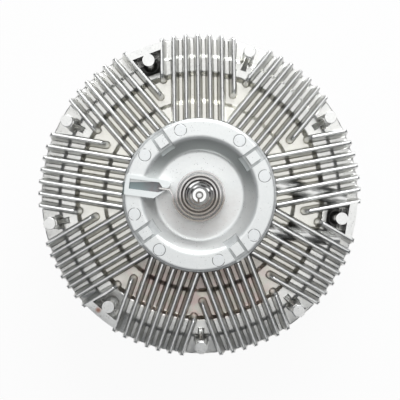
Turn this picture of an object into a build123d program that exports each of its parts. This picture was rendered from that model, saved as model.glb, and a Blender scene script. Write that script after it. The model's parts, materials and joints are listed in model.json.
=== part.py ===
from build123d import *
import os
from math import atan2, cos, degrees, radians, sin, sqrt, tan

# Viscous fan clutch with a finned die-cast body and an open bimetal coil.
# Origin: centre of the input shaft's rear mounting face.
# +Z runs along the axis to the finned front, +Y is up on the vehicle. Millimetres.

# Clearances
seat_clearance = 0.03
running_clearance = 0.06
side_clearance = 0.3
face_gap = 1.0

# Lengths by which solids run into each other and cuts run past a face
join_depth = 0.5
cut_spare = 1.0

# Input shaft
shaft_flange_radius = 50.0
shaft_flange_thickness = 10.0
shaft_edge_chamfer = 1.0
shaft_pilot_radius = 20.0
shaft_pilot_depth = 6.0
shaft_bolt_circle_radius = 38.0
shaft_bolt_hole_radius = 5.25
shaft_bolt_count = 4
shaft_neck_radius = 22.0
shaft_neck_root = 4.0
shaft_hub_gap = 8.0

# Cylindrical roller bearing
bearing_bore_radius = 17.5
bearing_outer_radius = 36.0
bearing_width = 23.0
bearing_lip_width = 5.0
bearing_lip_thickness = 2.5
bearing_ring_shoulder = 1.6
roller_radius = 4.5
roller_length = 15.0
roller_count = 13
cage_half_thickness = 1.7
cage_end_ring = 1.4
bearing_seal_thickness = 1.2
snap_ring_thickness = 1.8
snap_ring_depth = 2.0
snap_ring_width = 5.0
snap_ring_opening = 30.0

# Rotor
rotor_seat_radius = 15.0
rotor_hub_radius = 27.0
rotor_hub_length = 11.5
rotor_web_thickness = 4.5
rotor_tip_gap = 2.0
rotor_vent_radius = 5.0
rotor_vent_circle_radius = 42.0
rotor_vent_count = 6
rotor_ring_thickness = 1.5
rotor_ring_depth = 1.4
rotor_ring_width = 4.5
rotor_ring_opening = 50.0
shaft_nose = 1.4

# Fluid coupling lands
land_count = 2
land_band_width = 21.5
land_pitch = 8.0
land_width = 3.0
land_height = 3.6
land_gap = 0.8

# Body castings
body_radius = 125.0
chamber_wall = 4.5
spigot_inset = 16.0
spigot_width = 3.5
spigot_height = 3.0
rear_rim_thickness = 7.0
front_rim_thickness = 11.0
rim_chamfer = 1.0

# Front face steps
hub_ring_width = 16.0
ring_inset = 16.6
ring_width = 11.2
valley_slope = 2.6
ring_outer_slope = 2.5
valley_height = 2.0
ring_height = 6.0

# Front fins
group_count = 9
first_group_angle = 10.7
fins_per_group = 7
fin_pitch = 9.1
fin_crest_height = 28.0
fin_crest_width = 2.6
fin_draft = 3.3
fin_crest_rounding = 0.7
fin_end_lean = 2.9
fin_corner_rounding = 2.2
fin_end_step = 0.4
fin_boss_depth = 2.0
fin_spare_reach = 5.0
fin_end_bevel_height = 2.6
fin_end_bevel_length = 2.2
long_partial_crest_gap = 1.4
long_partial_root_gap = 0.9
short_partial_crest_gap = 14.0
short_partial_root_gap = 13.5

# Posts between the fin groups
pad_radius = 4.6
pad_thickness = 2.4
post_rib_width = 4.2
post_rib_top_width = 2.6
post_inset = 9.7
post_inner_reach = 14.0
post_outer_reach = 10.4
post_top_reach = 4.3
post_side_reach = 5.2
post_side_lean = 3.0

# Closed pockets, every third gap
pocket_every = 3
first_pocket_gap = 2
pocket_post_inset = 15.8
pocket_post_root_radius = 5.4
pocket_radius = 7.7
pocket_round_offset = 1.0
pocket_wall_inset = 11.6
pocket_wall_step = 2.6
pocket_floor_height = 0.6

# Fluid return passages beside the last pocket
passage_pocket = 2
passage_offset = 18.2
passage_convergence = 2.5
passage_ridge_half_width = 5.6
passage_ridge_draft = 0.8
passage_height = 8.2
passage_inset = 12.0
passage_bore_radius = 2.0
passage_inlet_inset = 6.0
passage_inlet_radius = 1.4
passage_boss_depth = 5.0
plug_length = 5.0

# Reservoir
boss_radius = 57.0
boss_height = 22.0
boss_wall = 8.0
reservoir_ledge = 7.0
reservoir_floor_thickness = 4.0
plate_seat_width = 5.0
plate_thickness = 2.0
plate_screw_count = 4
plate_screw_radius = 1.5
plate_screw_length = 5.0
plate_screw_head_radius = 2.6
plate_screw_head_height = 1.4
fill_port_radius = 4.0
fill_port_inset = 10.0
fill_port_angle = 60.0

# Reservoir cap
cap_overhang = 1.4
cap_rim_thickness = 8.0
cap_rim_width = 14.9
cap_edge_rounding = 3.0
cap_slope_width = 9.0
cap_floor_drop = 11.0
cap_floor_dome = 0.8
cap_wall = 4.0
cap_skirt_depth = 7.0
cap_skirt_width = 3.0
cap_bend_rounding = 4.5
cap_boss_radius = 10.5
cap_boss_height = 1.6
cap_inner_boss_depth = 3.0
cap_clear_of_fins = 0.4
channel_count = 4
channel_first_angle = 35.0
channel_width = 11.9
channel_depth = 4.0
channel_floor_thickness = 2.5
channel_pad_width = 7.5
channel_pad_length = 8.6
channel_pad_inset = 8.8
channel_run_in = 5.5

# Coil anchor arm on the cap, in its own frame: reach along its axis, side across it
arm_angle = 172.5
arm_top_above_rim = 1.2
arm_upper_side = 9.1
arm_lower_side = 6.8
arm_coil_gap = 5.6
arm_tip_length = 5.7
arm_tip_bevel_length = 8.4
arm_tip_side = -0.3
arm_post_side = 4.9
arm_post_radius = 2.75
arm_slot_upper = 5.6
arm_slot_lower = 1.9
arm_slot_inset = 5.0
arm_slot_depth = 2.8
arm_tail_length = 6.0

# Valve
valve_shaft_radius = 4.0
valve_collar_radius = 5.1
valve_slot_width = 1.5
valve_eye_radius = 1.9
valve_eye_depth = 6.0
valve_stub_radius = 3.0
valve_arm_thickness = 1.5
valve_arm_hub_radius = 7.0
valve_arm_tip_radius = 6.0
valve_lift = 0.3
clip_thickness = 1.0
clip_depth = 0.8
clip_width = 2.4
clip_opening = 70.0

# Bimetal coil
coil_strip_thickness = 1.2
coil_strip_width = 10.0
coil_outer_radius = 20.0
coil_pitch = 2.7
coil_half_turns = 10
coil_floor_gap = 1.0

# Seals
cap_seal_width = 1.6
cap_seal_height = 2.2
shaft_seal_width = 1.6
shaft_seal_height = 1.8
joint_seal_gap = 2.2
joint_seal_width = 1.8
joint_seal_depth = 1.6

# Joint screws
joint_screw_inset = 6.8
joint_screw_radius = 3.0
joint_screw_head_radius = 5.6
joint_screw_head_height = 5.0
joint_screw_length = 15.0
joint_screw_hole_spare = 1.0

# Rear casting
hub_wall = 8.0
hub_draft = 3.0
rear_rib_count = 27
rear_rib_crest_width = 2.4
rear_rib_draft = 3.0
rear_rib_height = 11.0
rear_rib_hub_depth = 2.0
outer_rib_step_angle = 8.0
outer_ribs_per_group = 3
outer_rib_height = 6.0
outer_rib_gap = 4.0
fan_register_inset = 40.0
fan_register_wall = 4.0
fan_register_height = 13.0
fan_boss_radius = 8.0
fan_boss_height = 10.0
fan_bolt_offset = 12.0
fan_bolt_count = 6
fan_bolt_radius = 3.4
fan_bolt_depth = 12.5

# Radii and reaches that follow from the body
spigot_radius = body_radius - spigot_inset
chamber_radius = spigot_radius - spigot_width
joint_screw_circle_radius = body_radius - joint_screw_inset
joint_seal_radius = spigot_radius + joint_seal_gap
rotor_outer_radius = chamber_radius - rotor_tip_gap
land_first_radius = rotor_outer_radius - land_band_width
ring_outer_radius = body_radius - ring_inset
ring_inner_radius = ring_outer_radius - ring_width
post_circle_radius = body_radius - post_inset
pocket_post_circle_radius = body_radius - pocket_post_inset
pocket_wall_radius = body_radius - pocket_wall_inset
passage_outer_reach = body_radius - passage_inset
passage_inlet_reach = chamber_radius - passage_inlet_inset
fan_register_radius = body_radius - fan_register_inset
fan_bolt_circle_radius = fan_register_radius + fan_bolt_offset
outer_rib_inner_radius = fan_register_radius + outer_rib_gap

# Radii and reaches that follow from the boss
hub_ring_radius = boss_radius + hub_ring_width
reservoir_radius = boss_radius - boss_wall
reservoir_floor_radius = reservoir_radius - reservoir_ledge
plate_radius = reservoir_floor_radius + plate_seat_width
plate_screw_circle_radius = (reservoir_floor_radius + plate_radius) / 2
fill_port_circle_radius = reservoir_floor_radius - fill_port_inset
cap_radius = boss_radius + cap_overhang
cap_rim_inner_radius = cap_radius - cap_rim_width
cap_floor_radius = cap_rim_inner_radius - cap_slope_width
channel_pad_radius = cap_radius - channel_pad_inset
channel_inner_reach = cap_rim_inner_radius - channel_run_in
arm_slot_end = cap_radius - arm_slot_inset

# Reaches that follow from the coil and from the fins
arm_tip_reach = coil_outer_radius + arm_coil_gap
arm_slot_mouth = arm_tip_reach + arm_tip_length
arm_lower_end = arm_tip_reach + arm_tip_bevel_length
half_group_step = 180.0 / group_count
outer_fin_offset = (fins_per_group - 1) / 2 * fin_pitch
gap_meeting_radius = outer_fin_offset / sin(radians(half_group_step))
fin_meeting_reach = outer_fin_offset / tan(radians(half_group_step))

# Angles of the gaps between the fin groups
group_step = 2 * half_group_step
post_first_angle = first_group_angle + half_group_step
post_angles = [post_first_angle + group_step * n for n in range(group_count)]
pocket_angles = post_angles[first_pocket_gap::pocket_every]
passage_axis_angle = pocket_angles[passage_pocket]

# Heights along the axis
hub_rear_z = shaft_flange_thickness + shaft_hub_gap
bearing_rear_z = hub_rear_z + bearing_lip_thickness
bearing_front_z = bearing_rear_z + bearing_width
snap_ring_z = bearing_front_z
chamber_rear_z = bearing_front_z + snap_ring_thickness + face_gap
rotor_web_rear_z = chamber_rear_z + face_gap
rotor_web_front_z = rotor_web_rear_z + rotor_web_thickness
rotor_hub_front_z = bearing_front_z + rotor_hub_length
rear_face_z = chamber_rear_z - chamber_wall
joint_z = rear_face_z + rear_rim_thickness
chamber_front_z = rotor_web_front_z + land_height + face_gap
rim_z = joint_z + front_rim_thickness
valley_z = rim_z + valley_height
ring_z = rim_z + ring_height
crest_z = rim_z + fin_crest_height
boss_top_z = rim_z + boss_height
cap_rim_z = boss_top_z + cap_rim_thickness
cap_floor_z = cap_rim_z - cap_floor_drop
cap_inside_z = cap_floor_z - cap_wall
arm_top_z = cap_rim_z + arm_top_above_rim
coil_bottom_z = cap_floor_z + cap_floor_dome + cap_boss_height + coil_floor_gap
plate_front_z = valley_z
plate_rear_z = plate_front_z - plate_thickness
reservoir_floor_z = plate_front_z + reservoir_floor_thickness
passage_z = rim_z + passage_height
shaft_end_z = rotor_hub_front_z + rotor_ring_thickness + shaft_nose
fin_root_z = rim_z - join_depth
roller_pitch_radius = (bearing_bore_radius + bearing_outer_radius) / 2

os.makedirs("parts", exist_ok=True)


def half_width(crest_half, height):
    """Half the width of a drafted rib at a depth below its crest."""
    return crest_half + height * tan(radians(fin_draft))


def closed_outline(points):
    """Closed outline through points, such as the (radius, height) profile of a turned piece."""
    with BuildLine() as outline:
        Polyline(*points, close=True)
    return outline.line


def open_ring(inner, outer, opening_angle):
    """Plan of a flat snap ring with a gap, the gap centred on +X."""
    with BuildSketch() as ring:
        Circle(outer)
        Circle(inner, mode=Mode.SUBTRACT)
        reach = 2 * outer
        half_gap = radians(opening_angle / 2)
        upper = (reach * cos(half_gap), reach * sin(half_gap))
        lower = (reach * cos(half_gap), -reach * sin(half_gap))
        make_face(closed_outline([(0, 0), upper, lower]), mode=Mode.SUBTRACT)
    return ring.sketch


# Front housing: one fin
def fin_outline(x_start, x_end, half, offset, rounded):
    """Plan of one fin: a strip along X, with a rounded inner end where it stops short."""
    with BuildLine() as outline:
        if rounded:
            Line((x_end, offset - half), (x_start + half, offset - half))
            ThreePointArc(
                (x_start + half, offset - half),
                (x_start, offset),
                (x_start + half, offset + half),
            )
            Line((x_start + half, offset + half), (x_end, offset + half))
            Line((x_end, offset + half), (x_end, offset - half))
        else:
            Polyline(
                (x_start, offset - half),
                (x_end, offset - half),
                (x_end, offset + half),
                (x_start, offset + half),
                close=True,
            )
    return outline.line


def drafted_fin(root_start, crest_start, offset, rounded):
    """A fin that narrows from its root to its crest and has its crest's edges broken."""
    fin_reach = body_radius + fin_spare_reach
    shoulder_half = fin_crest_width / 2
    bevel_z = crest_z - fin_crest_rounding - fin_end_bevel_height
    bevelled_start = crest_start + fin_end_bevel_length
    sections = [
        (fin_root_z, root_start, half_width(shoulder_half, crest_z - fin_root_z)),
        (bevel_z, crest_start, half_width(shoulder_half, crest_z - bevel_z)),
        (crest_z - fin_crest_rounding, bevelled_start, shoulder_half),
        (crest_z, bevelled_start + fin_crest_rounding, shoulder_half - fin_crest_rounding),
    ]
    with BuildPart() as fin:
        for level, start, half in sections:
            with BuildSketch(Plane.XY.offset(level)):
                make_face(fin_outline(start, fin_reach, half, offset, rounded))
        loft(ruled=True)
    return fin.part


# Space that the fin tips may fill: they lean in towards the crest and have a rounded corner
with BuildPart() as tip_envelope:
    with BuildSketch(Plane.XZ):
        with BuildLine():
            Polyline(
                (0, fin_root_z),
                (body_radius - fin_end_step, fin_root_z),
                (body_radius - fin_end_lean, crest_z),
                (0, crest_z),
                close=True,
            )
        make_face()
        corner = vertices().group_by(Axis.X)[-2].sort_by(Axis.Y)[-1]
        fillet(corner, fin_corner_rounding)
    revolve(axis=Axis.Z)

short_fins = {
    0: (fin_meeting_reach + long_partial_root_gap, fin_meeting_reach + long_partial_crest_gap),
    fins_per_group - 1: (
        fin_meeting_reach + short_partial_root_gap,
        fin_meeting_reach + short_partial_crest_gap,
    ),
}
fins = []
for number in range(fins_per_group):
    offset = number * fin_pitch - outer_fin_offset
    inside_boss = sqrt(boss_radius**2 - offset**2) - fin_boss_depth
    root_start, crest_start = short_fins.get(number, (inside_boss, inside_boss))
    fins.append(drafted_fin(root_start, crest_start, offset, number in short_fins))

with BuildPart() as fin_group:
    for fin in fins:
        add(fin)
    add(tip_envelope.part, mode=Mode.INTERSECT)
    # Room for the cap above its seat
    with BuildSketch(Plane.XY.offset(boss_top_z)):
        Circle(cap_radius + cap_clear_of_fins)
    extrude(amount=crest_z - boss_top_z + cut_spare, mode=Mode.SUBTRACT)


# Front housing: posts
def tapered_bar(root_size, top_size, root_centre, top_centre, root_z, top_z):
    """An upright bar with a rectangular plan that narrows from root to top."""
    with BuildPart() as bar:
        with BuildSketch(Plane.XY.offset(root_z)):
            with Locations((root_centre, 0)):
                Rectangle(*root_size)
        with BuildSketch(Plane.XY.offset(top_z)):
            with Locations((top_centre, 0)):
                Rectangle(*top_size)
        loft(ruled=True)
    return bar.part


post_rib_centre = post_circle_radius + (post_outer_reach - post_inner_reach) / 2
radial_rib = tapered_bar(
    (post_inner_reach + post_outer_reach, post_rib_width),
    (2 * post_top_reach, post_rib_top_width),
    post_rib_centre,
    post_circle_radius,
    fin_root_z,
    crest_z - pad_thickness,
)
side_rib = tapered_bar(
    (post_rib_width, 2 * post_side_reach),
    (post_rib_top_width, 2 * post_top_reach),
    post_circle_radius - post_side_lean,
    post_circle_radius,
    fin_root_z,
    crest_z - pad_thickness,
)
with BuildPart() as ribbed_post:
    add(radial_rib)
    add(side_rib)
    with BuildSketch(Plane.XY.offset(crest_z - pad_thickness)):
        with Locations((post_circle_radius, 0)):
            Circle(pad_radius)
    extrude(amount=pad_thickness)

# Front housing: floor, outer wall and round post of a closed pocket, built along +X
def gap_half_width(reach):
    """Half the distance between the centres of the two fins that flank a gap."""
    return (reach - gap_meeting_radius) * tan(radians(half_group_step))


pocket_round_centre = pocket_post_circle_radius + pocket_round_offset
with BuildSketch() as pocket_plan:
    with Locations((pocket_round_centre, 0)):
        Circle(pocket_radius)
    make_face(
        closed_outline(
            [
                (pocket_round_centre, gap_half_width(pocket_round_centre)),
                (pocket_wall_radius, gap_half_width(pocket_wall_radius)),
                (pocket_wall_radius, -gap_half_width(pocket_wall_radius)),
                (pocket_round_centre, -gap_half_width(pocket_round_centre)),
            ]
        )
    )

pocket_wall_reach = body_radius + fin_spare_reach
with BuildPart() as pocket_wall:
    with BuildSketch(Plane.XY.offset(fin_root_z)):
        with BuildLine():
            Polyline(
                (pocket_wall_radius, gap_half_width(pocket_wall_radius)),
                (pocket_wall_reach, gap_half_width(pocket_wall_reach)),
                (pocket_wall_reach, -gap_half_width(pocket_wall_reach)),
                (pocket_wall_radius, -gap_half_width(pocket_wall_radius)),
                close=True,
            )
        make_face()
    extrude(amount=crest_z - fin_root_z)
    with BuildSketch(Plane.XY.offset(fin_root_z)):
        Circle(body_radius - fin_end_step)
    with BuildSketch(Plane.XY.offset(crest_z)):
        Circle(body_radius - fin_end_lean - pocket_wall_step)
    loft(ruled=True, mode=Mode.INTERSECT)

pocket_floor_z = rim_z + pocket_floor_height
with BuildPart() as pocket_post:
    with BuildSketch(Plane.XY.offset(fin_root_z)):
        with Locations((pocket_post_circle_radius, 0)):
            Circle(pocket_post_root_radius)
    with BuildSketch(Plane.XY.offset(crest_z)):
        with Locations((pocket_post_circle_radius, 0)):
            Circle(pad_radius)
    loft(ruled=True)

# Front housing: ridges over the fluid return passages
passage_start_reach = boss_radius - passage_boss_depth


def passage_plane(side, reach):
    """Plane across a passage at a distance along it. Its X is level and its Y points up."""
    axis = radians(passage_axis_angle)
    heading = radians(passage_axis_angle - side * passage_convergence)
    start = Vector(
        passage_start_reach * cos(axis) - side * passage_offset * sin(axis),
        passage_start_reach * sin(axis) + side * passage_offset * cos(axis),
        0,
    )
    along = Vector(cos(heading), sin(heading), 0)
    run = (reach - passage_start_reach) / cos(radians(passage_convergence))
    return Plane(
        origin=start + along * run,
        x_dir=(-sin(heading), cos(heading), 0),
        z_dir=(cos(heading), sin(heading), 0),
    )


passage_length = (passage_outer_reach - passage_start_reach) / cos(radians(passage_convergence))
passage_sides = (1, -1)

passage_foot = passage_ridge_half_width + passage_ridge_draft
with BuildPart() as passage_ridges:
    for side in passage_sides:
        with BuildSketch(passage_plane(side, passage_start_reach)):
            with BuildLine():
                Polyline(
                    (passage_ridge_half_width, passage_z),
                    (passage_foot, fin_root_z),
                    (-passage_foot, fin_root_z),
                    (-passage_ridge_half_width, passage_z),
                )
                ThreePointArc(
                    (-passage_ridge_half_width, passage_z),
                    (0, passage_z + passage_ridge_half_width),
                    (passage_ridge_half_width, passage_z),
                )
            make_face()
        extrude(amount=passage_length)

# Passage bores from the reservoir to the ridge ends, and their inlets from the chamber
bore_length = (passage_outer_reach - reservoir_floor_radius) / cos(radians(passage_convergence))
with BuildPart() as passage_bores:
    for side in passage_sides:
        with BuildSketch(passage_plane(side, reservoir_floor_radius)):
            with Locations((0, passage_z)):
                Circle(passage_bore_radius)
        extrude(amount=bore_length)
        inlet = passage_plane(side, passage_inlet_reach).origin
        with BuildSketch(Plane.XY.offset(chamber_front_z - cut_spare)):
            with Locations((inlet.X, inlet.Y)):
                Circle(passage_inlet_radius)
        extrude(amount=passage_z - chamber_front_z + cut_spare)

# Front housing
ribbed_angles = [angle for angle in post_angles if angle not in pocket_angles]
plate_recess_radius = plate_radius + side_clearance
screw_tip_z = rear_face_z + joint_screw_length

with BuildPart() as front_housing:
    # Blank: rim, raised ring, valley, hub ring and boss
    with BuildSketch(Plane.XZ):
        make_face(
            closed_outline(
                [
                    (0, joint_z),
                    (body_radius, joint_z),
                    (body_radius, rim_z - rim_chamfer),
                    (body_radius - rim_chamfer, rim_z),
                    (0, rim_z),
                ]
            )
        )
        make_face(
            closed_outline(
                [
                    (ring_outer_radius + ring_outer_slope, rim_z),
                    (ring_outer_radius, ring_z),
                    (ring_inner_radius, ring_z),
                    (ring_inner_radius - valley_slope, valley_z),
                    (0, valley_z),
                    (0, rim_z),
                ]
            )
        )
        make_face(
            closed_outline(
                [
                    (hub_ring_radius + valley_slope, valley_z),
                    (hub_ring_radius, ring_z),
                    (boss_radius, ring_z),
                    (boss_radius, boss_top_z),
                    (0, boss_top_z),
                    (0, valley_z),
                ]
            )
        )
    revolve(axis=Axis.Z)
    # Deep pockets sink the raised ring beside three of the gaps
    with BuildSketch(Plane.XY.offset(pocket_floor_z)):
        add([pocket_plan.sketch.rotate(Axis.Z, angle) for angle in pocket_angles])
    extrude(amount=ring_z - pocket_floor_z + cut_spare, mode=Mode.SUBTRACT)
    # Chamber, plate recess and reservoir
    with BuildSketch(Plane.XZ):
        with BuildLine():
            Polyline(
                (0, joint_z - cut_spare),
                (spigot_radius, joint_z - cut_spare),
                (spigot_radius, joint_z + spigot_height + side_clearance),
                (chamber_radius, joint_z + spigot_height + side_clearance),
                (chamber_radius, chamber_front_z),
                (plate_recess_radius, chamber_front_z),
                (plate_recess_radius, plate_front_z),
                (reservoir_floor_radius, plate_front_z),
                (reservoir_floor_radius, reservoir_floor_z),
                (reservoir_radius, reservoir_floor_z),
                (reservoir_radius, boss_top_z + cut_spare),
                (0, boss_top_z + cut_spare),
                close=True,
            )
        make_face()
    revolve(axis=Axis.Z, mode=Mode.SUBTRACT)
    # Lands that interleave with the rotor's
    with BuildSketch(Plane.XY.offset(chamber_front_z - land_height)):
        for number in range(land_count):
            land_inner = land_first_radius + land_width + land_gap + number * land_pitch
            Circle(land_inner + land_pitch - land_width - 2 * land_gap)
            Circle(land_inner, mode=Mode.SUBTRACT)
    extrude(amount=land_height)
    # Blind holes for the joint screws and the plate screws
    with BuildSketch(Plane.XY.offset(joint_z)):
        with PolarLocations(joint_screw_circle_radius, group_count, start_angle=post_first_angle):
            Circle(joint_screw_radius + seat_clearance)
    extrude(amount=screw_tip_z + joint_screw_hole_spare - joint_z, mode=Mode.SUBTRACT)
    with BuildSketch(Plane.XY.offset(plate_front_z)):
        with PolarLocations(plate_screw_circle_radius, plate_screw_count):
            Circle(plate_screw_radius + seat_clearance)
    extrude(amount=plate_screw_length - plate_thickness, mode=Mode.SUBTRACT)
    # Ridges, fins, posts and pocket walls
    add(passage_ridges.part)
    with PolarLocations(0, group_count, start_angle=first_group_angle):
        add(fin_group.part)
    add([ribbed_post.part.rotate(Axis.Z, angle) for angle in ribbed_angles])
    add([pocket_wall.part.rotate(Axis.Z, angle) for angle in pocket_angles])
    add([pocket_post.part.rotate(Axis.Z, angle) for angle in pocket_angles])
    add(passage_bores.part, mode=Mode.SUBTRACT)

front_housing.part.label = "front_housing"
export_step(front_housing.part, "parts/front_housing.step")
print("front housing", len(front_housing.part.solids()), len(front_housing.part.faces()))

# Plugs in the outer ends of the return passages
with BuildPart() as return_passage_plugs:
    for side in passage_sides:
        with BuildSketch(passage_plane(side, passage_outer_reach)):
            with Locations((0, passage_z)):
                Circle(passage_bore_radius - seat_clearance)
        extrude(amount=-plug_length)
return_passage_plugs.part.label = "return_passage_plugs"
export_step(return_passage_plugs.part, "parts/return_passage_plugs.step")

# Coil anchor arm, in its own frame
arm_frame = Plane(
    origin=(0, 0, 0),
    x_dir=(cos(radians(arm_angle)), sin(radians(arm_angle)), 0),
    z_dir=(0, 0, 1),
)


def arm_plan(limit_radius):
    """Plan of the arm inside a circle about the cap's centre, in the arm's own frame."""
    with BuildSketch() as plan:
        make_face(
            closed_outline(
                [
                    (cap_radius, -arm_upper_side),
                    (arm_tip_reach, -arm_post_side - arm_post_radius),
                    (arm_tip_reach, arm_tip_side),
                    (arm_lower_end, arm_lower_side),
                    (cap_radius, arm_lower_side),
                ]
            )
        )
        with Locations((arm_tip_reach, -arm_post_side)):
            Circle(arm_post_radius)
        Circle(limit_radius, mode=Mode.INTERSECT)
    return plan.sketch


# Reservoir cap: dished disc with a skirt, a centre boss and an underside boss
cap_slope = atan2(cap_floor_drop, cap_rim_inner_radius - cap_floor_radius)
cap_wall_shift = cap_wall * tan(cap_slope / 2)
cap_skirt_outer = reservoir_radius - seat_clearance
cap_skirt_inner = cap_skirt_outer - cap_skirt_width
cap_ledge_z = cap_rim_z - channel_depth - channel_floor_thickness
cap_ledge_reach = cap_floor_radius + cap_wall_shift + (cap_ledge_z - cap_inside_z) / tan(cap_slope)
cap_bore_radius = valve_shaft_radius + running_clearance
cap_boss_top_z = cap_floor_z + cap_floor_dome + cap_boss_height
cap_boss_foot_z = cap_floor_z + cap_floor_dome
cap_inner_boss_z = cap_inside_z - cap_inner_boss_depth
cap_seal_z = boss_top_z - cap_skirt_depth / 2 - cap_seal_height / 2
shaft_seal_z = (cap_inner_boss_z + cap_boss_top_z - shaft_seal_height) / 2
channel_floor_z = cap_rim_z - channel_depth
arm_tail_side = (arm_tip_side + arm_post_radius - arm_post_side) / 2

with BuildPart() as reservoir_cap:
    with BuildSketch(Plane.XZ):
        with BuildLine():
            Polyline(
                (cap_bore_radius, cap_inner_boss_z),
                (cap_bore_radius, cap_boss_top_z),
                (cap_boss_radius, cap_boss_top_z),
                (cap_boss_radius + cap_boss_height / 2, cap_boss_foot_z),
                (cap_floor_radius, cap_floor_z),
                (cap_rim_inner_radius, cap_rim_z),
                (cap_radius, cap_rim_z),
                (cap_radius, boss_top_z),
                (cap_skirt_outer, boss_top_z),
                (cap_skirt_outer, boss_top_z - cap_skirt_depth),
                (cap_skirt_inner, boss_top_z - cap_skirt_depth),
                (cap_skirt_inner, cap_ledge_z),
                (cap_ledge_reach, cap_ledge_z),
                (cap_floor_radius + cap_wall_shift, cap_inside_z),
                (cap_boss_radius, cap_inside_z),
                (cap_boss_radius, cap_inner_boss_z),
                close=True,
            )
        make_face()
        rim_corner = vertices().group_by(Axis.X)[-1].sort_by(Axis.Y)[-1]
        fillet(rim_corner, cap_edge_rounding)
        bends = [
            vertices().sort_by_distance((cap_floor_radius, cap_floor_z, 0))[0],
            vertices().sort_by_distance((cap_rim_inner_radius, cap_rim_z, 0))[0],
        ]
        fillet(bends, cap_bend_rounding)
    revolve(axis=Axis.Z)
    # Grooves for the two seals
    with BuildSketch(Plane.XY.offset(cap_seal_z)):
        Circle(cap_skirt_outer + cut_spare)
        Circle(reservoir_radius - cap_seal_width, mode=Mode.SUBTRACT)
    extrude(amount=cap_seal_height, mode=Mode.SUBTRACT)
    with BuildSketch(Plane.XY.offset(shaft_seal_z)):
        Circle(cap_bore_radius + shaft_seal_width)
    extrude(amount=shaft_seal_height, mode=Mode.SUBTRACT)
    # Channels across the rim, each with a pad standing in it
    channel_reach = cap_radius + cut_spare - channel_inner_reach
    with BuildSketch(Plane.XY.offset(channel_floor_z)):
        with PolarLocations(
            channel_inner_reach + channel_reach / 2, channel_count, start_angle=channel_first_angle
        ):
            Rectangle(channel_reach, channel_width)
    extrude(amount=channel_depth + cut_spare, mode=Mode.SUBTRACT)
    with BuildSketch(Plane.XY.offset(channel_floor_z - join_depth)):
        with PolarLocations(channel_pad_radius, channel_count, start_angle=channel_first_angle):
            Rectangle(channel_pad_length, channel_pad_width)
    extrude(amount=channel_depth + join_depth)
    # Arm: a block with a slot that opens between a post and an angled tip
    with BuildSketch(arm_frame.offset(cap_floor_z - join_depth)):
        add(arm_plan(cap_rim_inner_radius))
    extrude(amount=arm_top_z - cap_floor_z + join_depth)
    with BuildSketch(arm_frame.offset(cap_rim_z - cap_wall)):
        add(arm_plan(cap_radius - cap_edge_rounding / 2))
    extrude(amount=arm_top_z - cap_rim_z + cap_wall)
    with BuildSketch(arm_frame.offset(arm_top_z - arm_slot_depth)):
        make_face(
            closed_outline(
                [
                    (arm_slot_end, -arm_slot_upper),
                    (arm_slot_mouth, -arm_slot_upper),
                    (arm_tip_reach + arm_post_radius, -arm_post_side + arm_post_radius),
                    (arm_tip_reach - arm_post_radius, -arm_post_side + arm_post_radius),
                    (arm_tip_reach - arm_post_radius, arm_tip_side),
                    (arm_tip_reach, arm_tip_side),
                    (arm_slot_mouth, arm_slot_lower),
                    (arm_slot_end, arm_slot_lower),
                ]
            )
        )
    extrude(amount=arm_slot_depth + cut_spare, mode=Mode.SUBTRACT)
    # Slit that grips the coil's outer end between the post and the tip
    with BuildSketch(arm_frame.offset(coil_bottom_z - side_clearance)):
        with Locations((arm_tip_reach + (arm_tail_length - arm_post_radius) / 2, arm_tail_side)):
            Rectangle(arm_tail_length + arm_post_radius, coil_strip_thickness + 2 * side_clearance)
    extrude(amount=arm_top_z - coil_bottom_z + side_clearance + cut_spare, mode=Mode.SUBTRACT)
reservoir_cap.part.label = "reservoir_cap"
export_step(reservoir_cap.part, "parts/reservoir_cap.step")

# Seal of the cap in its groove
with BuildPart() as cap_seal:
    with BuildSketch(Plane.XY.offset(cap_seal_z)):
        Circle(reservoir_radius)
        Circle(reservoir_radius - cap_seal_width, mode=Mode.SUBTRACT)
    extrude(amount=cap_seal_height)
cap_seal.part.label = "cap_seal"
export_step(cap_seal.part, "parts/cap_seal.step")

# Seal of the valve shaft in its groove
with BuildPart() as valve_shaft_seal:
    with BuildSketch(Plane.XY.offset(shaft_seal_z)):
        Circle(cap_bore_radius + shaft_seal_width)
        Circle(cap_bore_radius, mode=Mode.SUBTRACT)
    extrude(amount=shaft_seal_height)
valve_shaft_seal.part.label = "valve_shaft_seal"
export_step(valve_shaft_seal.part, "parts/valve_shaft_seal.step")

# Bimetal coil: a flat spiral of half turns whose centres step from side to side.
# Its outer end bends into the anchor arm and its inner end is a tongue in the valve shaft.
half_strip = coil_strip_thickness / 2
tongue_x = -coil_pitch / 4
mouth = Vector(arm_tip_reach - arm_post_radius, arm_tail_side, 0)
tail_end = Vector(arm_tip_reach + arm_tail_length - 2 * side_clearance - half_strip, arm_tail_side, 0)
turn = radians(arm_angle)


def from_arm(point):
    """A point of the arm's own frame in the frame of the clutch."""
    return Vector(
        point.X * cos(turn) - point.Y * sin(turn),
        point.X * sin(turn) + point.Y * cos(turn),
    )


def half_ring(centre_x, radius, first_angle, sweep):
    """Closed outline of a stretch of strip that follows one arc."""
    with BuildLine() as outline:
        outer = CenterArc((centre_x, 0), radius + half_strip, first_angle, sweep)
        inner = CenterArc((centre_x, 0), radius - half_strip, first_angle, sweep)
        Line(outer @ 0, inner @ 0)
        Line(outer @ 1, inner @ 1)
    return outline.line


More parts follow.
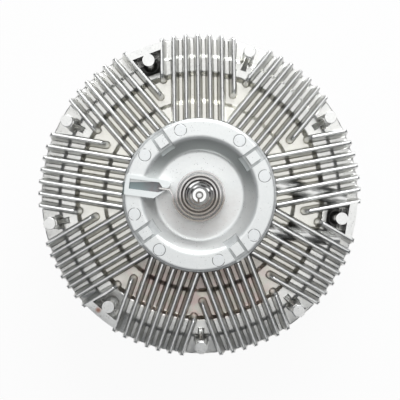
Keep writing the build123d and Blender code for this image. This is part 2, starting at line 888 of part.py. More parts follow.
with BuildPart() as bimetal_coil:
    with BuildSketch(Plane.XY.offset(coil_bottom_z)):
        for number in range(coil_half_turns):
            lower_half = number % 2 == 0
            centre_x = -coil_pitch / 4 if lower_half else coil_pitch / 4
            radius = coil_outer_radius - coil_pitch / 4 - number * coil_pitch / 2
            make_face(half_ring(centre_x, radius, 180 if lower_half else 0, 180))
        last_radius = coil_outer_radius - coil_pitch / 4 - coil_half_turns * coil_pitch / 2
        make_face(half_ring(tongue_x, last_radius, 180, 90))
        tongue_top = -valve_eye_radius
        with Locations((tongue_x, (tongue_top - last_radius - half_strip) / 2)):
            Rectangle(coil_strip_thickness, last_radius + half_strip + tongue_top)
        route = [Vector(-coil_outer_radius, 0), from_arm(mouth), from_arm(tail_end)]
        for start, end in zip(route, route[1:]):
            middle = (start + end) / 2
            run = end - start
            with Locations(Location((middle.X, middle.Y), degrees(atan2(run.Y, run.X)))):
                SlotCenterToCenter(run.length, coil_strip_thickness)
    extrude(amount=coil_strip_width)
bimetal_coil.part.label = "bimetal_coil"
export_step(bimetal_coil.part, "parts/bimetal_coil.step")

# Valve shaft: collar with a slot for the coil's tongue, stem through the cap, stub in the arm
valve_arm_z = plate_front_z + valve_lift
valve_arm_top_z = valve_arm_z + valve_arm_thickness
clip_z = cap_inner_boss_z - running_clearance - clip_thickness
collar_bottom_z = cap_boss_top_z + side_clearance
collar_top_z = coil_bottom_z + coil_strip_width + side_clearance
clip_groove_radius = valve_shaft_radius - clip_depth
with BuildPart() as valve_shaft:
    with BuildSketch(Plane.XZ):
        with BuildLine():
            Polyline(
                (0, valve_arm_z),
                (valve_stub_radius, valve_arm_z),
                (valve_stub_radius, valve_arm_top_z),
                (valve_shaft_radius, valve_arm_top_z),
                (valve_shaft_radius, clip_z),
                (clip_groove_radius, clip_z),
                (clip_groove_radius, clip_z + clip_thickness + running_clearance),
                (valve_shaft_radius, clip_z + clip_thickness + running_clearance),
                (valve_shaft_radius, collar_bottom_z),
                (valve_collar_radius, collar_bottom_z),
                (valve_collar_radius, collar_top_z),
                (0, collar_top_z),
                close=True,
            )
        make_face()
    revolve(axis=Axis.Z)
    with BuildSketch(Plane.XY.offset(collar_top_z - valve_eye_depth)):
        Circle(valve_eye_radius)
    extrude(amount=valve_eye_depth, mode=Mode.SUBTRACT)
    with BuildSketch(Plane.XY.offset(coil_bottom_z - side_clearance / 2)):
        with Locations((tongue_x, -valve_collar_radius / 2)):
            Rectangle(valve_slot_width, valve_collar_radius)
    extrude(amount=coil_strip_width + 2 * side_clearance, mode=Mode.SUBTRACT)
valve_shaft.part.label = "valve_shaft"
export_step(valve_shaft.part, "parts/valve_shaft.step")

# Valve arm: lever that covers the fill port of the separator plate
with BuildPart() as valve_arm:
    with BuildSketch(Plane.XY.offset(valve_arm_z)):
        port_x = fill_port_circle_radius * cos(radians(fill_port_angle))
        port_y = fill_port_circle_radius * sin(radians(fill_port_angle))
        with BuildSketch(mode=Mode.PRIVATE) as ends:
            Circle(valve_arm_hub_radius)
            with Locations((port_x, port_y)):
                Circle(valve_arm_tip_radius)
        make_hull(ends.sketch.edges())
        Circle(valve_stub_radius + seat_clearance, mode=Mode.SUBTRACT)
    extrude(amount=valve_arm_thickness)
valve_arm.part.label = "valve_arm"
export_step(valve_arm.part, "parts/valve_arm.step")

# Clip that holds the valve shaft up against the cap's underside boss
with BuildPart() as valve_shaft_clip:
    with BuildSketch(Plane.XY.offset(clip_z + seat_clearance)):
        clip_inner = clip_groove_radius + seat_clearance
        add(open_ring(clip_inner, clip_groove_radius + clip_width, clip_opening))
    extrude(amount=clip_thickness)
valve_shaft_clip.part.label = "valve_shaft_clip"
export_step(valve_shaft_clip.part, "parts/valve_shaft_clip.step")

# Separator plate between the reservoir and the chamber
with BuildPart() as separator_plate:
    with BuildSketch(Plane.XY.offset(plate_rear_z)):
        Circle(plate_radius)
        with Locations((port_x, port_y)):
            Circle(fill_port_radius, mode=Mode.SUBTRACT)
        with PolarLocations(plate_screw_circle_radius, plate_screw_count):
            Circle(plate_screw_radius + seat_clearance, mode=Mode.SUBTRACT)
    extrude(amount=plate_thickness)
separator_plate.part.label = "separator_plate"
export_step(separator_plate.part, "parts/separator_plate.step")

# Separator plate screws
with BuildPart() as separator_screws:
    with BuildSketch(Plane.XY.offset(plate_rear_z)):
        with PolarLocations(plate_screw_circle_radius, plate_screw_count):
            Circle(plate_screw_radius)
    extrude(amount=plate_screw_length - seat_clearance)
    with BuildSketch(Plane.XY.offset(plate_rear_z)):
        with PolarLocations(plate_screw_circle_radius, plate_screw_count):
            Circle(plate_screw_head_radius)
    extrude(amount=-plate_screw_head_height)
separator_screws.part.label = "separator_screws"
export_step(separator_screws.part, "parts/separator_screws.step")

# Rotor: a web with lands on its front face, clamped between the bearing and a ring
land_points = []
for number in range(land_count):
    land_inner = land_first_radius + number * land_pitch
    land_points += [
        (land_inner, rotor_web_front_z),
        (land_inner, rotor_web_front_z + land_height),
        (land_inner + land_width, rotor_web_front_z + land_height),
        (land_inner + land_width, rotor_web_front_z),
    ]
with BuildPart() as rotor:
    with BuildSketch(Plane.XZ):
        make_face(
            closed_outline(
                [
                    (rotor_seat_radius + seat_clearance, bearing_front_z),
                    (rotor_hub_radius, bearing_front_z),
                    (rotor_hub_radius, rotor_web_rear_z),
                    (rotor_outer_radius, rotor_web_rear_z),
                    (rotor_outer_radius, rotor_web_front_z),
                    *reversed(land_points),
                    (rotor_hub_radius, rotor_web_front_z),
                    (rotor_hub_radius, rotor_hub_front_z),
                    (rotor_seat_radius + seat_clearance, rotor_hub_front_z),
                ]
            )
        )
    revolve(axis=Axis.Z)
    with BuildSketch(Plane.XY.offset(rotor_web_rear_z)):
        with PolarLocations(rotor_vent_circle_radius, rotor_vent_count):
            Circle(rotor_vent_radius)
    extrude(amount=rotor_web_thickness, mode=Mode.SUBTRACT)
rotor.part.label = "rotor"
export_step(rotor.part, "parts/rotor.step")

# Ring that holds the rotor on the shaft
rotor_ring_radius = rotor_seat_radius - rotor_ring_depth
with BuildPart() as rotor_retaining_ring:
    with BuildSketch(Plane.XY.offset(rotor_hub_front_z)):
        add(
            open_ring(
                rotor_ring_radius + seat_clearance,
                rotor_ring_radius + rotor_ring_width,
                rotor_ring_opening,
            )
        )
    extrude(amount=rotor_ring_thickness)
rotor_retaining_ring.part.label = "rotor_retaining_ring"
export_step(rotor_retaining_ring.part, "parts/rotor_retaining_ring.step")

# Input shaft with its mounting flange
ring_top_z = rotor_hub_front_z + rotor_ring_thickness + running_clearance
with BuildPart() as input_shaft:
    with BuildSketch(Plane.XZ):
        with BuildLine():
            Polyline(
                (0, shaft_pilot_depth),
                (shaft_pilot_radius, shaft_pilot_depth),
                (shaft_pilot_radius, 0),
                (shaft_flange_radius - shaft_edge_chamfer, 0),
                (shaft_flange_radius, shaft_edge_chamfer),
                (shaft_flange_radius, shaft_flange_thickness - shaft_edge_chamfer),
                (shaft_flange_radius - shaft_edge_chamfer, shaft_flange_thickness),
                (shaft_neck_radius + shaft_neck_root, shaft_flange_thickness),
                (shaft_neck_radius, shaft_flange_thickness + shaft_neck_root),
                (shaft_neck_radius, bearing_rear_z),
                (bearing_bore_radius, bearing_rear_z),
                (bearing_bore_radius, bearing_front_z - side_clearance),
                (rotor_seat_radius, bearing_front_z - side_clearance),
                (rotor_seat_radius, rotor_hub_front_z),
                (rotor_ring_radius, rotor_hub_front_z),
                (rotor_ring_radius, ring_top_z),
                (rotor_seat_radius, ring_top_z),
                (rotor_seat_radius, shaft_end_z - shaft_nose / 2),
                (rotor_seat_radius - shaft_nose / 2, shaft_end_z),
                (0, shaft_end_z),
                close=True,
            )
        make_face()
    revolve(axis=Axis.Z)
    with BuildSketch(Plane.XY):
        with PolarLocations(
            shaft_bolt_circle_radius, shaft_bolt_count, start_angle=180 / shaft_bolt_count
        ):
            Circle(shaft_bolt_hole_radius)
    extrude(amount=shaft_flange_thickness, mode=Mode.SUBTRACT)
input_shaft.part.label = "input_shaft"
export_step(input_shaft.part, "parts/input_shaft.step")

# Bearing rings
inner_race = roller_pitch_radius - roller_radius - running_clearance
outer_race = roller_pitch_radius + roller_radius + running_clearance
inner_shoulder = inner_race + bearing_ring_shoulder
outer_shoulder = outer_race - bearing_ring_shoulder
roller_rear_z = bearing_rear_z + (bearing_width - roller_length) / 2
race_rear_z = roller_rear_z - running_clearance
race_front_z = roller_rear_z + roller_length + running_clearance


def bearing_ring_profile(seat, shoulder, race):
    """Profile of a flanged bearing ring with its race between two shoulders."""
    return closed_outline(
        [
            (seat, bearing_rear_z),
            (shoulder, bearing_rear_z),
            (shoulder, race_rear_z),
            (race, race_rear_z),
            (race, race_front_z),
            (shoulder, race_front_z),
            (shoulder, bearing_front_z),
            (seat, bearing_front_z),
        ]
    )


with BuildPart() as bearing_inner_ring:
    with BuildSketch(Plane.XZ):
        inner_seat = bearing_bore_radius + seat_clearance
        make_face(bearing_ring_profile(inner_seat, inner_shoulder, inner_race))
    revolve(axis=Axis.Z)
bearing_inner_ring.part.label = "bearing_inner_ring"
export_step(bearing_inner_ring.part, "parts/bearing_inner_ring.step")

with BuildPart() as bearing_outer_ring:
    with BuildSketch(Plane.XZ):
        make_face(bearing_ring_profile(bearing_outer_radius, outer_shoulder, outer_race))
    revolve(axis=Axis.Z)
bearing_outer_ring.part.label = "bearing_outer_ring"
export_step(bearing_outer_ring.part, "parts/bearing_outer_ring.step")

# Bearing rollers
with BuildPart() as bearing_rollers:
    with BuildSketch(Plane.XY.offset(roller_rear_z)):
        with PolarLocations(roller_pitch_radius, roller_count):
            Circle(roller_radius)
    extrude(amount=roller_length)
bearing_rollers.part.label = "bearing_rollers"
export_step(bearing_rollers.part, "parts/bearing_rollers.step")

# Bearing cage with a pocket for each roller
with BuildPart() as bearing_cage:
    with BuildSketch(Plane.XY.offset(roller_rear_z - cage_end_ring)):
        Circle(roller_pitch_radius + cage_half_thickness)
        Circle(roller_pitch_radius - cage_half_thickness, mode=Mode.SUBTRACT)
    extrude(amount=roller_length + 2 * cage_end_ring)
    with BuildSketch(Plane.XY.offset(race_rear_z)):
        with PolarLocations(roller_pitch_radius, roller_count):
            Circle(roller_radius + side_clearance / 2)
    extrude(amount=race_front_z - race_rear_z, mode=Mode.SUBTRACT)
bearing_cage.part.label = "bearing_cage"
export_step(bearing_cage.part, "parts/bearing_cage.step")

# Bearing seals, pressed into the outer ring
with BuildPart() as bearing_seals:
    for bottom in (
        bearing_rear_z + side_clearance,
        bearing_front_z - side_clearance - bearing_seal_thickness,
    ):
        with BuildSketch(Plane.XY.offset(bottom)):
            Circle(outer_shoulder - seat_clearance)
            Circle(inner_shoulder + side_clearance, mode=Mode.SUBTRACT)
        extrude(amount=bearing_seal_thickness)
bearing_seals.part.label = "bearing_seals"
export_step(bearing_seals.part, "parts/bearing_seals.step")

# Snap ring that holds the bearing in the rear housing
snap_ring_outer = bearing_outer_radius + snap_ring_depth
with BuildPart() as bearing_retaining_ring:
    with BuildSketch(Plane.XY.offset(snap_ring_z)):
        add(
            open_ring(
                snap_ring_outer - snap_ring_width,
                snap_ring_outer - seat_clearance,
                snap_ring_opening,
            )
        )
    extrude(amount=snap_ring_thickness)
bearing_retaining_ring.part.label = "bearing_retaining_ring"
export_step(bearing_retaining_ring.part, "parts/bearing_retaining_ring.step")

# Rear housing
bearing_seat_radius = bearing_outer_radius + seat_clearance
hub_radius = bearing_outer_radius + hub_wall
snap_groove_top_z = snap_ring_z + snap_ring_thickness + running_clearance
register_z = rear_face_z - fan_register_height
fan_face_z = rear_face_z - fan_boss_height
rib_root_z = rear_face_z + join_depth


def rear_rib(inner, outer, height):
    """A radial rib on the rear face, along +X, that narrows away from the face."""
    root_half = rear_rib_crest_width / 2 + height * tan(radians(rear_rib_draft))
    with BuildPart() as rib:
        with BuildSketch(Plane.XY.offset(rib_root_z)):
            with Locations(((inner + outer) / 2, 0)):
                Rectangle(outer - inner, 2 * root_half)
        with BuildSketch(Plane.XY.offset(rear_face_z - height)):
            with Locations(((inner + outer) / 2, 0)):
                Rectangle(outer - inner, rear_rib_crest_width)
        loft(ruled=True)
    return rib.part


register_middle = fan_register_radius - fan_register_wall / 2
inner_rib = rear_rib(hub_radius - rear_rib_hub_depth, register_middle, rear_rib_height)
outer_rib = rear_rib(outer_rib_inner_radius, body_radius - rim_chamfer, outer_rib_height)
middle_rib = (outer_ribs_per_group - 1) / 2
outer_rib_angles = [
    first_group_angle + group_step * group + (number - middle_rib) * outer_rib_step_angle
    for group in range(group_count)
    for number in range(outer_ribs_per_group)
]

with BuildPart() as rear_housing:
    with BuildSketch(Plane.XZ):
        with BuildLine():
            Polyline(
                (bearing_outer_radius - bearing_lip_width, hub_rear_z),
                (hub_radius - rim_chamfer, hub_rear_z),
                (hub_radius, hub_rear_z + rim_chamfer),
                (hub_radius + hub_draft, rear_face_z),
                (body_radius - rim_chamfer, rear_face_z),
                (body_radius, rear_face_z + rim_chamfer),
                (body_radius, joint_z),
                (spigot_radius - running_clearance, joint_z),
                (spigot_radius - running_clearance, joint_z + spigot_height),
                (chamber_radius, joint_z + spigot_height),
                (chamber_radius, chamber_rear_z),
                (bearing_seat_radius, chamber_rear_z),
                (bearing_seat_radius, snap_groove_top_z),
                (snap_ring_outer, snap_groove_top_z),
                (snap_ring_outer, snap_ring_z),
                (bearing_seat_radius, snap_ring_z),
                (bearing_seat_radius, bearing_rear_z),
                (bearing_outer_radius - bearing_lip_width, bearing_rear_z),
                close=True,
            )
        make_face()
    revolve(axis=Axis.Z)
    # Register ring for the fan
    with BuildSketch(Plane.XY.offset(rib_root_z)):
        Circle(fan_register_radius)
        Circle(fan_register_radius - fan_register_wall, mode=Mode.SUBTRACT)
    extrude(amount=register_z - rib_root_z)
    # Radial ribs
    with PolarLocations(0, rear_rib_count):
        add(inner_rib)
    add([outer_rib.rotate(Axis.Z, angle) for angle in outer_rib_angles])
    # Fan bosses and their blind holes
    with BuildSketch(Plane.XY.offset(rib_root_z)):
        with PolarLocations(
            fan_bolt_circle_radius, fan_bolt_count, start_angle=first_group_angle
        ):
            Circle(fan_boss_radius)
    extrude(amount=fan_face_z - rib_root_z)
    with BuildSketch(Plane.XY.offset(fan_face_z)):
        with PolarLocations(
            fan_bolt_circle_radius, fan_bolt_count, start_angle=first_group_angle
        ):
            Circle(fan_bolt_radius)
    extrude(amount=fan_bolt_depth, mode=Mode.SUBTRACT)
    # Joint screw holes
    with BuildSketch(Plane.XY.offset(rear_face_z)):
        with PolarLocations(joint_screw_circle_radius, group_count, start_angle=post_first_angle):
            Circle(joint_screw_radius + side_clearance)
    extrude(amount=rear_rim_thickness, mode=Mode.SUBTRACT)
    # Groove for the joint seal
    with BuildSketch(Plane.XY.offset(joint_z)):
        Circle(joint_seal_radius + joint_seal_width)
        Circle(joint_seal_radius, mode=Mode.SUBTRACT)
    extrude(amount=-joint_seal_depth, mode=Mode.SUBTRACT)
rear_housing.part.label = "rear_housing"
export_step(rear_housing.part, "parts/rear_housing.step")

# Seal between the housings
with BuildPart() as housing_seal:
    with BuildSketch(Plane.XY.offset(joint_z - joint_seal_depth)):
        Circle(joint_seal_radius + joint_seal_width)
        Circle(joint_seal_radius, mode=Mode.SUBTRACT)
    extrude(amount=joint_seal_depth)
housing_seal.part.label = "housing_seal"
export_step(housing_seal.part, "parts/housing_seal.step")

# Screws that join the housings
with BuildPart() as housing_screws:
    with BuildSketch(Plane.XY.offset(rear_face_z)):
        with PolarLocations(joint_screw_circle_radius, group_count, start_angle=post_first_angle):
            Circle(joint_screw_radius)
    extrude(amount=joint_screw_length)
    with BuildSketch(Plane.XY.offset(rear_face_z)):
        with PolarLocations(joint_screw_circle_radius, group_count, start_angle=post_first_angle):
            RegularPolygon(joint_screw_head_radius, 6)
    extrude(amount=-joint_screw_head_height)
housing_screws.part.label = "housing_screws"
export_step(housing_screws.part, "parts/housing_screws.step")
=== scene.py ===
# %% [markdown]
# A viscous fan clutch, seen from its finned front. The packed CAD model is loaded first and stays
# as it is: it says where every casting, screw and ring goes. What Blender adds is the finish: rounded
# cast edges, the marks left by the casting tool, bright steel, dirt, painted shade, glints and
# reflections, and soft studio light.

# %% Load the frame
import json
from collections import namedtuple
from math import atan2, degrees, pi, radians
import bmesh
import bpy
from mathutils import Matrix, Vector


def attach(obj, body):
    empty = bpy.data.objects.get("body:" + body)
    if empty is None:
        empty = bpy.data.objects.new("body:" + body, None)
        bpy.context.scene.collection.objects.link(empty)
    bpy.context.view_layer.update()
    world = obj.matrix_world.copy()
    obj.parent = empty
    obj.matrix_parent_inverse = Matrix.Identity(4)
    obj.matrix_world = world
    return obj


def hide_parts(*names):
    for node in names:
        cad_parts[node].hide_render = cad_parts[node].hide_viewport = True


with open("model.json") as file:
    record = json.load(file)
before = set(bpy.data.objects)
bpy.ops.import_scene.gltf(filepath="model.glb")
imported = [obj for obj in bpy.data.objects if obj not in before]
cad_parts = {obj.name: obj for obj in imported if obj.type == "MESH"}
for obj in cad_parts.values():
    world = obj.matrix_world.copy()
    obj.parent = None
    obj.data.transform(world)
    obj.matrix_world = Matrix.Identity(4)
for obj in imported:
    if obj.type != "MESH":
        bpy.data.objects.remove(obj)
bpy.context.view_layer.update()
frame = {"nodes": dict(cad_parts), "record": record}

nodes = frame["nodes"]

# %% [markdown]
# The photograph looks straight down the axis of the clutch. The size of the cap and of the rim, which
# lie at different heights, gives how far away the camera was. A long lens from 0.7 m repeats it. A
# camera without perspective would be simpler, but it would show the tall walls of the dish and of the
# fins from straight above only, with none of their sides.

# %% Camera
photo_pixels = 400
focal_pixels = 806.5
sensor_width = 36.0
camera_place = (0.0004, -0.0036, 0.697)
nearest_seen = 0.01

camera_data = bpy.data.cameras.new("camera")
camera_data.sensor_width = sensor_width
camera_data.lens = focal_pixels / photo_pixels * sensor_width
camera_data.clip_start = nearest_seen
camera = bpy.data.objects.new("camera", camera_data)
bpy.context.scene.collection.objects.link(camera)
camera.location = camera_place
bpy.context.scene.camera = camera
bpy.context.scene.view_settings.view_transform = "Standard"
print("lens", round(camera_data.lens, 1), "mm")

# %% [markdown]
# A finish is a small network of shader nodes. It could be wired node by node, but the maths between
# the nodes is easier to read as ordinary Python expressions. This class wraps one socket, and each
# operator adds a Math node. A socket is fed by its name, with _ for a space, or by its number where a
# node has several sockets of one name: i0 is the first one.


# %% Shader expressions
class Value:
    """A shader socket that can be used in arithmetic."""

    def __init__(self, tree, socket):
        self.tree = tree
        self.socket = socket

    def node(self, kind, settings=None, out=0, **inputs):
        """Adds a node of that kind, sets it up, feeds its sockets and returns one of its outputs."""
        made = self.tree.nodes.new(kind)
        for name, setting in (settings or {}).items():
            if name == "stops":
                ramp = made.color_ramp
                while len(ramp.elements) < len(setting):
                    ramp.elements.new(0.5)
                for element, (place, colour) in zip(ramp.elements, setting):
                    element.position = place
                    element.color = (*colour, 1.0)
            else:
                setattr(made, name, setting)
        for name, value in inputs.items():
            key = int(name[1:]) if name[0] == "i" and name[1:].isdigit() else name.replace("_", " ")
            socket = made.inputs[key]
            if isinstance(value, Value):
                self.tree.links.new(value.socket, socket)
            else:
                socket.default_value = value
        return Value(self.tree, made.outputs[out])

    def output(self, name):
        """Another output of the node that this value comes from."""
        return Value(self.tree, self.socket.node.outputs[name])

    def math(self, operation, *values):
        """A Math node on those values."""
        fed = {f"i{number}": value for number, value in enumerate(values)}
        return self.node("ShaderNodeMath", {"operation": operation}, **fed)

    def __add__(self, other):
        return self.math("ADD", self, other)

    __radd__ = __add__

    def __mul__(self, other):
        return self.math("MULTIPLY", self, other)

    __rmul__ = __mul__

    def __sub__(self, other):
        return self.math("SUBTRACT", self, other)

    def __rsub__(self, other):
        return self.math("SUBTRACT", other, self)

    def __gt__(self, other):
        return self.math("GREATER_THAN", self, other)

    def __lt__(self, other):
        return self.math("LESS_THAN", self, other)

    def __abs__(self):
        return self.math("ABSOLUTE", self)


print("a value has", [name for name in vars(Value) if not name.startswith("_")])

# %% [markdown]
# Every finish starts the same way: a material, its Principled shader, and the coordinates of the object
# itself. An unwrapped picture could colour the clutch too, but patterns worked out from the place on
# the object need no unwrapping, and they stay on the metal when the clutch turns.


# %% A new finish
def new_finish(name):
    """A material with its Principled shader and the object's own coordinates."""
    material = bpy.data.materials.new(name)
    material.use_nodes = True
    tree = material.node_tree
    shader = tree.nodes["Principled BSDF"]
    place = tree.nodes.new("ShaderNodeTexCoord")
    return material, shader, Value(tree, place.outputs["Object"])


def feed(shader, name, value):
    """Links or sets one of the shader's sockets."""
    if isinstance(value, Value):
        value.tree.links.new(value.socket, shader.inputs[name])
    else:
        shader.inputs[name].default_value = value


print("helpers", new_finish.__name__, feed.__name__)

# %% [markdown]
# Dirt, stains, tool marks and painted shade are masks: values that are 1 where the mark is and 0
# elsewhere. A soft step makes the border of a film, a pair of comparisons picks one flat of the casting
# by its height, and noise breaks a mask up. A Mix node then lays the colour of the mark over the metal,
# and the number that a mask is multiplied by there is how strongly the mark shows.


# %% Masks and colours
def rising(value, low, high):
    """0 below low, 1 above high and a soft step between them."""
    return value.node(
        "ShaderNodeMapRange", {"interpolation_type": "SMOOTHSTEP"},
        Value=value, From_Min=low, From_Max=high,
    )


def falling(value, low, high):
    """1 below low, 0 above high and a soft step between them."""
    return 1 - rising(value, low, high)


def inside(value, low, high):
    """1 between low and high, with hard ends."""
    return (value > low) * (value < high)


def noise(place, scale, detail, roughness=0.5):
    """Smooth random values from 0 to 1."""
    return place.node(
        "ShaderNodeTexNoise", Vector=place, Scale=scale, Detail=detail, Roughness=roughness
    )


def mixed(factor, first, second):
    """A colour between two colours."""
    return factor.node(
        "ShaderNodeMix", {"data_type": "RGBA"}, out=2, i0=factor, i6=first, i7=second
    )


def two_tone(pattern, low, high, dark, light):
    """A colour ramp over a pattern, dark up to low and light from high."""
    return pattern.node("ShaderNodeValToRGB", {"stops": [(low, dark), (high, light)]}, Fac=pattern)


print("masks", rising.__name__, falling.__name__, inside.__name__)

# %% [markdown]
# Several patterns go round the axis of the clutch, so a point is also given by how far it is from the
# axis and by the angle at which it lies. A named tuple keeps these beside its three coordinates.

# %% Reach and turn
Spot = namedtuple("Spot", "reach turn right up height")


def polar(place):
    """A point's distance from the axis and angle round it, and its three coordinates."""
    split = place.node("ShaderNodeSeparateXYZ", Vector=place)
    right, up, height = (split.output(axis) for axis in "XYZ")
    reach = place.math("SQRT", right * right + up * up)
    return Spot(reach, place.math("ARCTAN2", up, right), right, up, height)


print("a spot has", Spot._fields)

# %% [markdown]
# Die-cast aluminium is bare metal with a skin that is never quite even: fine grain from the tool,
# broad cloudy patches from how the metal froze, and a few dark pits. Noise at three sizes moves the
# colour and the roughness a little, and the two finer ones feed a Bump node. The pits are the centres
# of small Voronoi cells, kept only where a coarser noise is high, so that they come in loose groups.
# What a casting has of its own comes from a function that is handed in, so both castings share the rest.

# %% Finish: cast aluminium
cloud_scale = 38.0
mottle_scale = 430.0
grain_scale = 1400.0
grain_depth = 0.0001
pit_scale = 620.0
pit_size = (0.10, 0.18)
pit_group_scale = 210.0
pit_groups = (0.50, 0.57)
pit_colour = (0.16, 0.15, 0.14, 1.0)


def cast_finish(name, light, dark, roughness, metal_share, marks):
    """Cast metal between two tones and two roughnesses, with the marks of one casting."""
    material, shader, place = new_finish(name)
    cloud = noise(place, cloud_scale, 4.0, 0.6)
    mottle = noise(place, mottle_scale, 3.0, 0.65)
    grain = noise(place, grain_scale, 2.0, 0.6)
    cells = place.node("ShaderNodeTexVoronoi", Vector=place, Scale=pit_scale, Randomness=1.0)
    pits = falling(cells, *pit_size) * rising(noise(place, pit_group_scale, 0.0), *pit_groups)
    patch = cloud * 0.4 + mottle * 0.4 + grain * 0.2
    colour = mixed(pits * 0.75, two_tone(patch, 0.38, 0.62, dark, light), pit_colour)
    relief = grain * 0.3 + mottle * 0.7 - pits * 0.6
    colour, relief, dull = marks(place, colour, relief)
    smoothest, roughest = roughness
    bump = grain.node("ShaderNodeBump", Height=relief, Strength=0.6, Distance=grain_depth)
    feed(shader, "Base Color", colour)
    feed(shader, "Roughness", patch * (roughest - smoothest) + smoothest)
    feed(shader, "Normal", bump)
    feed(shader, "Metallic", metal_share - dull)
    return material


print("clouds of", round(1000 / cloud_scale), "mm, grain of", round(1000 / grain_scale, 1), "mm")

# %% [markdown]
# The die for the cap has eight ejector pins. Each leaves a round mark, a fine broken groove with a
# brighter disc in it, in pairs on both sides of the four channels. A thin dark line of painted shade runs
# round near the cap's edge. Eight circles could be drawn one by one, but folding the angle round the cap
# into one quarter and mirroring it makes them all with one distance.

# %% Tool marks and a painted shade line on the cap
channel_angle = radians(35)
ejector_reach = 0.0511
ejector_radius = 0.0046
ejector_offset = radians(18.7)
groove_edge = (0.00012, 0.0004)
groove_gaps = (0.32, 0.48)
disc_fade = 0.0004
edge_shade_reach = 0.0566
edge_shade_edge = (0.0001, 0.0003)
groove_colour = (0.12, 0.12, 0.12, 1.0)
disc_colour = (0.93, 0.95, 0.97, 1.0)
edge_shade_colour = (0.2, 0.2, 0.2, 1.0)


def tool_marks(spot, quarter, broken, colour, relief):
    """The ejector rings and the painted shade line along the cap's edge."""
    folded = quarter - ejector_offset
    along = spot.reach * folded.math("COSINE", folded) - ejector_reach
    across = spot.reach * folded.math("SINE", folded)
    distance = along.math("SQRT", along * along + across * across)
    groove = falling(abs(distance - ejector_radius), *groove_edge) * rising(broken, *groove_gaps)
    disc = falling(distance, ejector_radius - disc_fade, ejector_radius)
    # The thin dark ring near the cap's edge is painted shade.
    edge_shade_line = falling(abs(spot.reach - edge_shade_reach), *edge_shade_edge)
    colour = mixed(groove * 0.8, colour, groove_colour)
    colour = mixed(disc * 0.35, colour, disc_colour)
    colour = mixed(edge_shade_line * 0.45, colour, edge_shade_colour)
    return colour, relief - groove * 1.5 - edge_shade_line * 0.8


print("ejector marks", round(ejector_radius * 2000, 1), "mm across")

# %% [markdown]
# The arm that holds the coil's tail has a slot, whose floor is painted dark and greenish as shade, with
# brown residue towards the coil. Its top is coloured paler. The floors of the four channels in the rim
# are painted grey as shade, and darker at the inner ends of the upper ones. Each of these flats lies at a
# height of its own, so a comparison with that height finds it, and nothing has to be painted by hand.

# %% Painted shade in the arm's slot and in the channels
arm_top = 0.091
arm_flat = arm_top - 0.0004
arm_root = -0.022
slot_end = -0.028
slot_sides = (0.0005, 0.0100)
slot_floor = (arm_top - 0.0032, arm_top - 0.0015)
slot_residue = (-0.046, -0.034)
slot_shade_green = (0.20, 0.26, 0.27, 1.0)
slot_brown = (0.22, 0.15, 0.16, 1.0)
arm_pale = (0.95, 0.985, 0.98, 1.0)
channel_floor = (0.0852, 0.0862)
channel_start = 0.036
channel_half_width = 0.0062
channel_shade_grey = (0.26, 0.28, 0.29, 1.0)
run_in_end = 0.0435
run_in_lowest = -0.010
run_in_shade_grey = (0.16, 0.18, 0.18, 1.0)


def arm_and_channels(spot, quarter, broken, colour):
    """The slot floor in painted shade with residue, the paler top of the arm and the channels in painted
    shade.
    """
    # The slot floor is painted dark greenish as shade, and brown with residue towards the coil.
    slot = (spot.right < slot_end) * inside(spot.up, *slot_sides) * inside(spot.height, *slot_floor)
    residue = rising(spot.right, *slot_residue)
    colour = mixed(slot * 0.92, colour, mixed(residue * broken, slot_shade_green, slot_brown))
    top = (spot.right < arm_root) * (spot.height > arm_flat)
    colour = mixed(top * 0.8, colour, arm_pale)
    # The channel floors are painted grey as shade, darker at the inner ends of the upper ones.
    in_width = quarter * spot.reach < channel_half_width
    channel = inside(spot.height, *channel_floor) * (spot.reach > channel_start) * in_width
    colour = mixed(channel * (broken * 0.5 + 0.25), colour, channel_shade_grey)
    run_in = channel * (spot.reach < run_in_end) * (spot.up > run_in_lowest)
    return mixed(run_in * 0.6, colour, run_in_shade_grey)


print("channels", round(channel_half_width * 2000, 1), "mm wide")

# %% [markdown]
# The upper wall of the dish is painted grey as shade, the lower half of its floor is coloured warmer
# and darker, and the floor under the coil is painted dark as its shadow: black in the middle, and brown
# below. They are round patches with soft borders, so each is a step in the distance from the axis, times
# a step up the picture.

# %% Painted shade and a darker tint in the dish
wall_foot = (0.0330, 0.0360)
wall_top = (0.0415, 0.0435)
wall_shade_right = 0.17
wall_shade_up = 0.98
wall_shade_rise = (0.003, 0.027)
wall_shade_highest = arm_top - 0.002
wall_shade_grey = (0.42, 0.45, 0.445, 1.0)
lower_floor_edge = (0.028, 0.036)
lower_floor_rise = (-0.012, 0.012)
lower_floor_highest = 0.082
lower_floor_tint = (0.74, 0.69, 0.66, 1.0)
coil_shadow_edge = (0.0135, 0.0175)
coil_shadow_rise = (-0.006, 0.002)
coil_shadow_highest = 0.0805
coil_shadow_brown = (0.36, 0.32, 0.28, 1.0)
coil_shadow_dark = (0.10, 0.08, 0.075, 1.0)
middle_edge = (0.009, 0.011)
middle_shadow_black = (0.03, 0.03, 0.03, 1.0)


